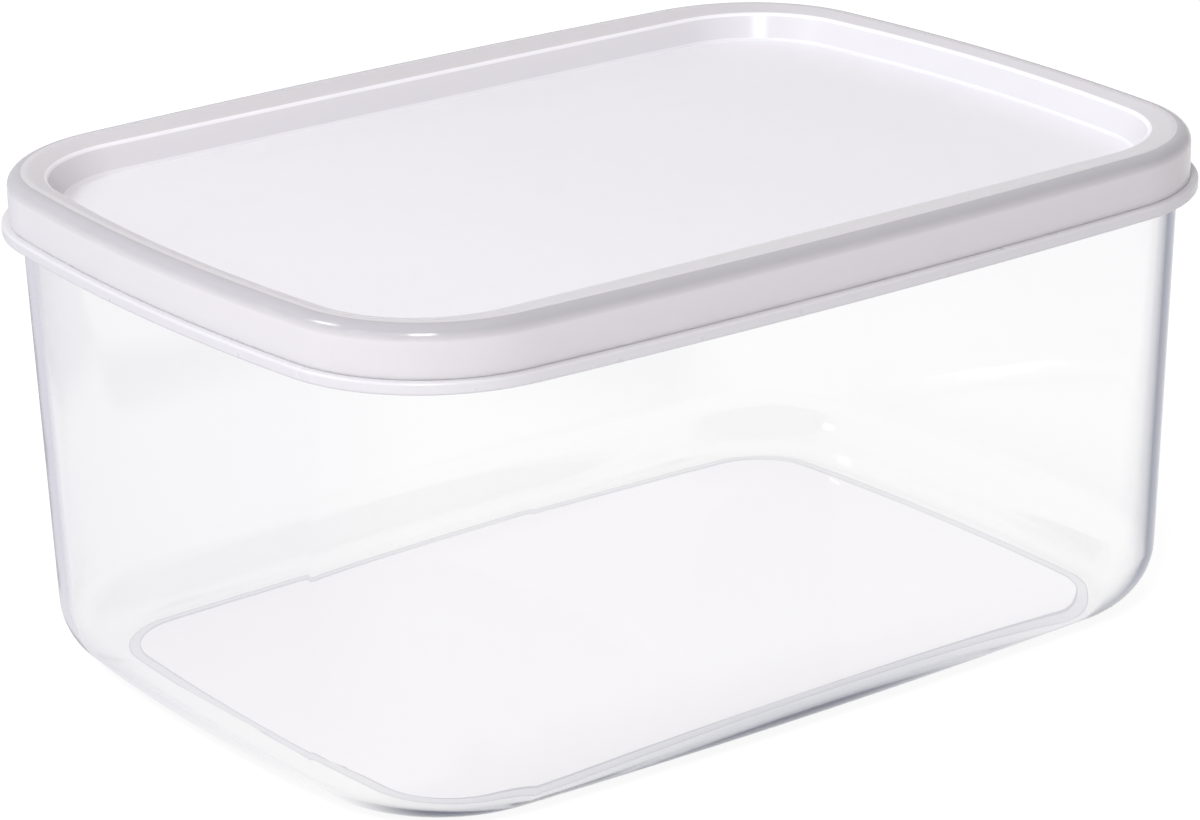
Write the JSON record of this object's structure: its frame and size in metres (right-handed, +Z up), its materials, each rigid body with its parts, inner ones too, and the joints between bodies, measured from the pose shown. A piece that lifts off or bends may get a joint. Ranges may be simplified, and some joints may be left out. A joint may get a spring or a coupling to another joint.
{
  "type": "food storage container",
  "caption": "Clear rectangular food storage tub with bowed sides, rounded corners and a thin flange, closed by a milky press-on lid with a recessed top.",
  "frame": {"origin": "middle of the plane the tub stands on, under the middle of its length and width", "axes": "+X along the long side, +Y along the short side, +Z up through the lid"},
  "size_m": [0.25, 0.1864, 0.1166],
  "materials": {
    "clear_plastic": "clear and glossy",
    "milky_plastic": "milky translucent, semi-gloss"
  },
  "bodies": {
    "root": {"tub": "clear_plastic", "lid": "milky_plastic"}
  },
  "joints": []
}
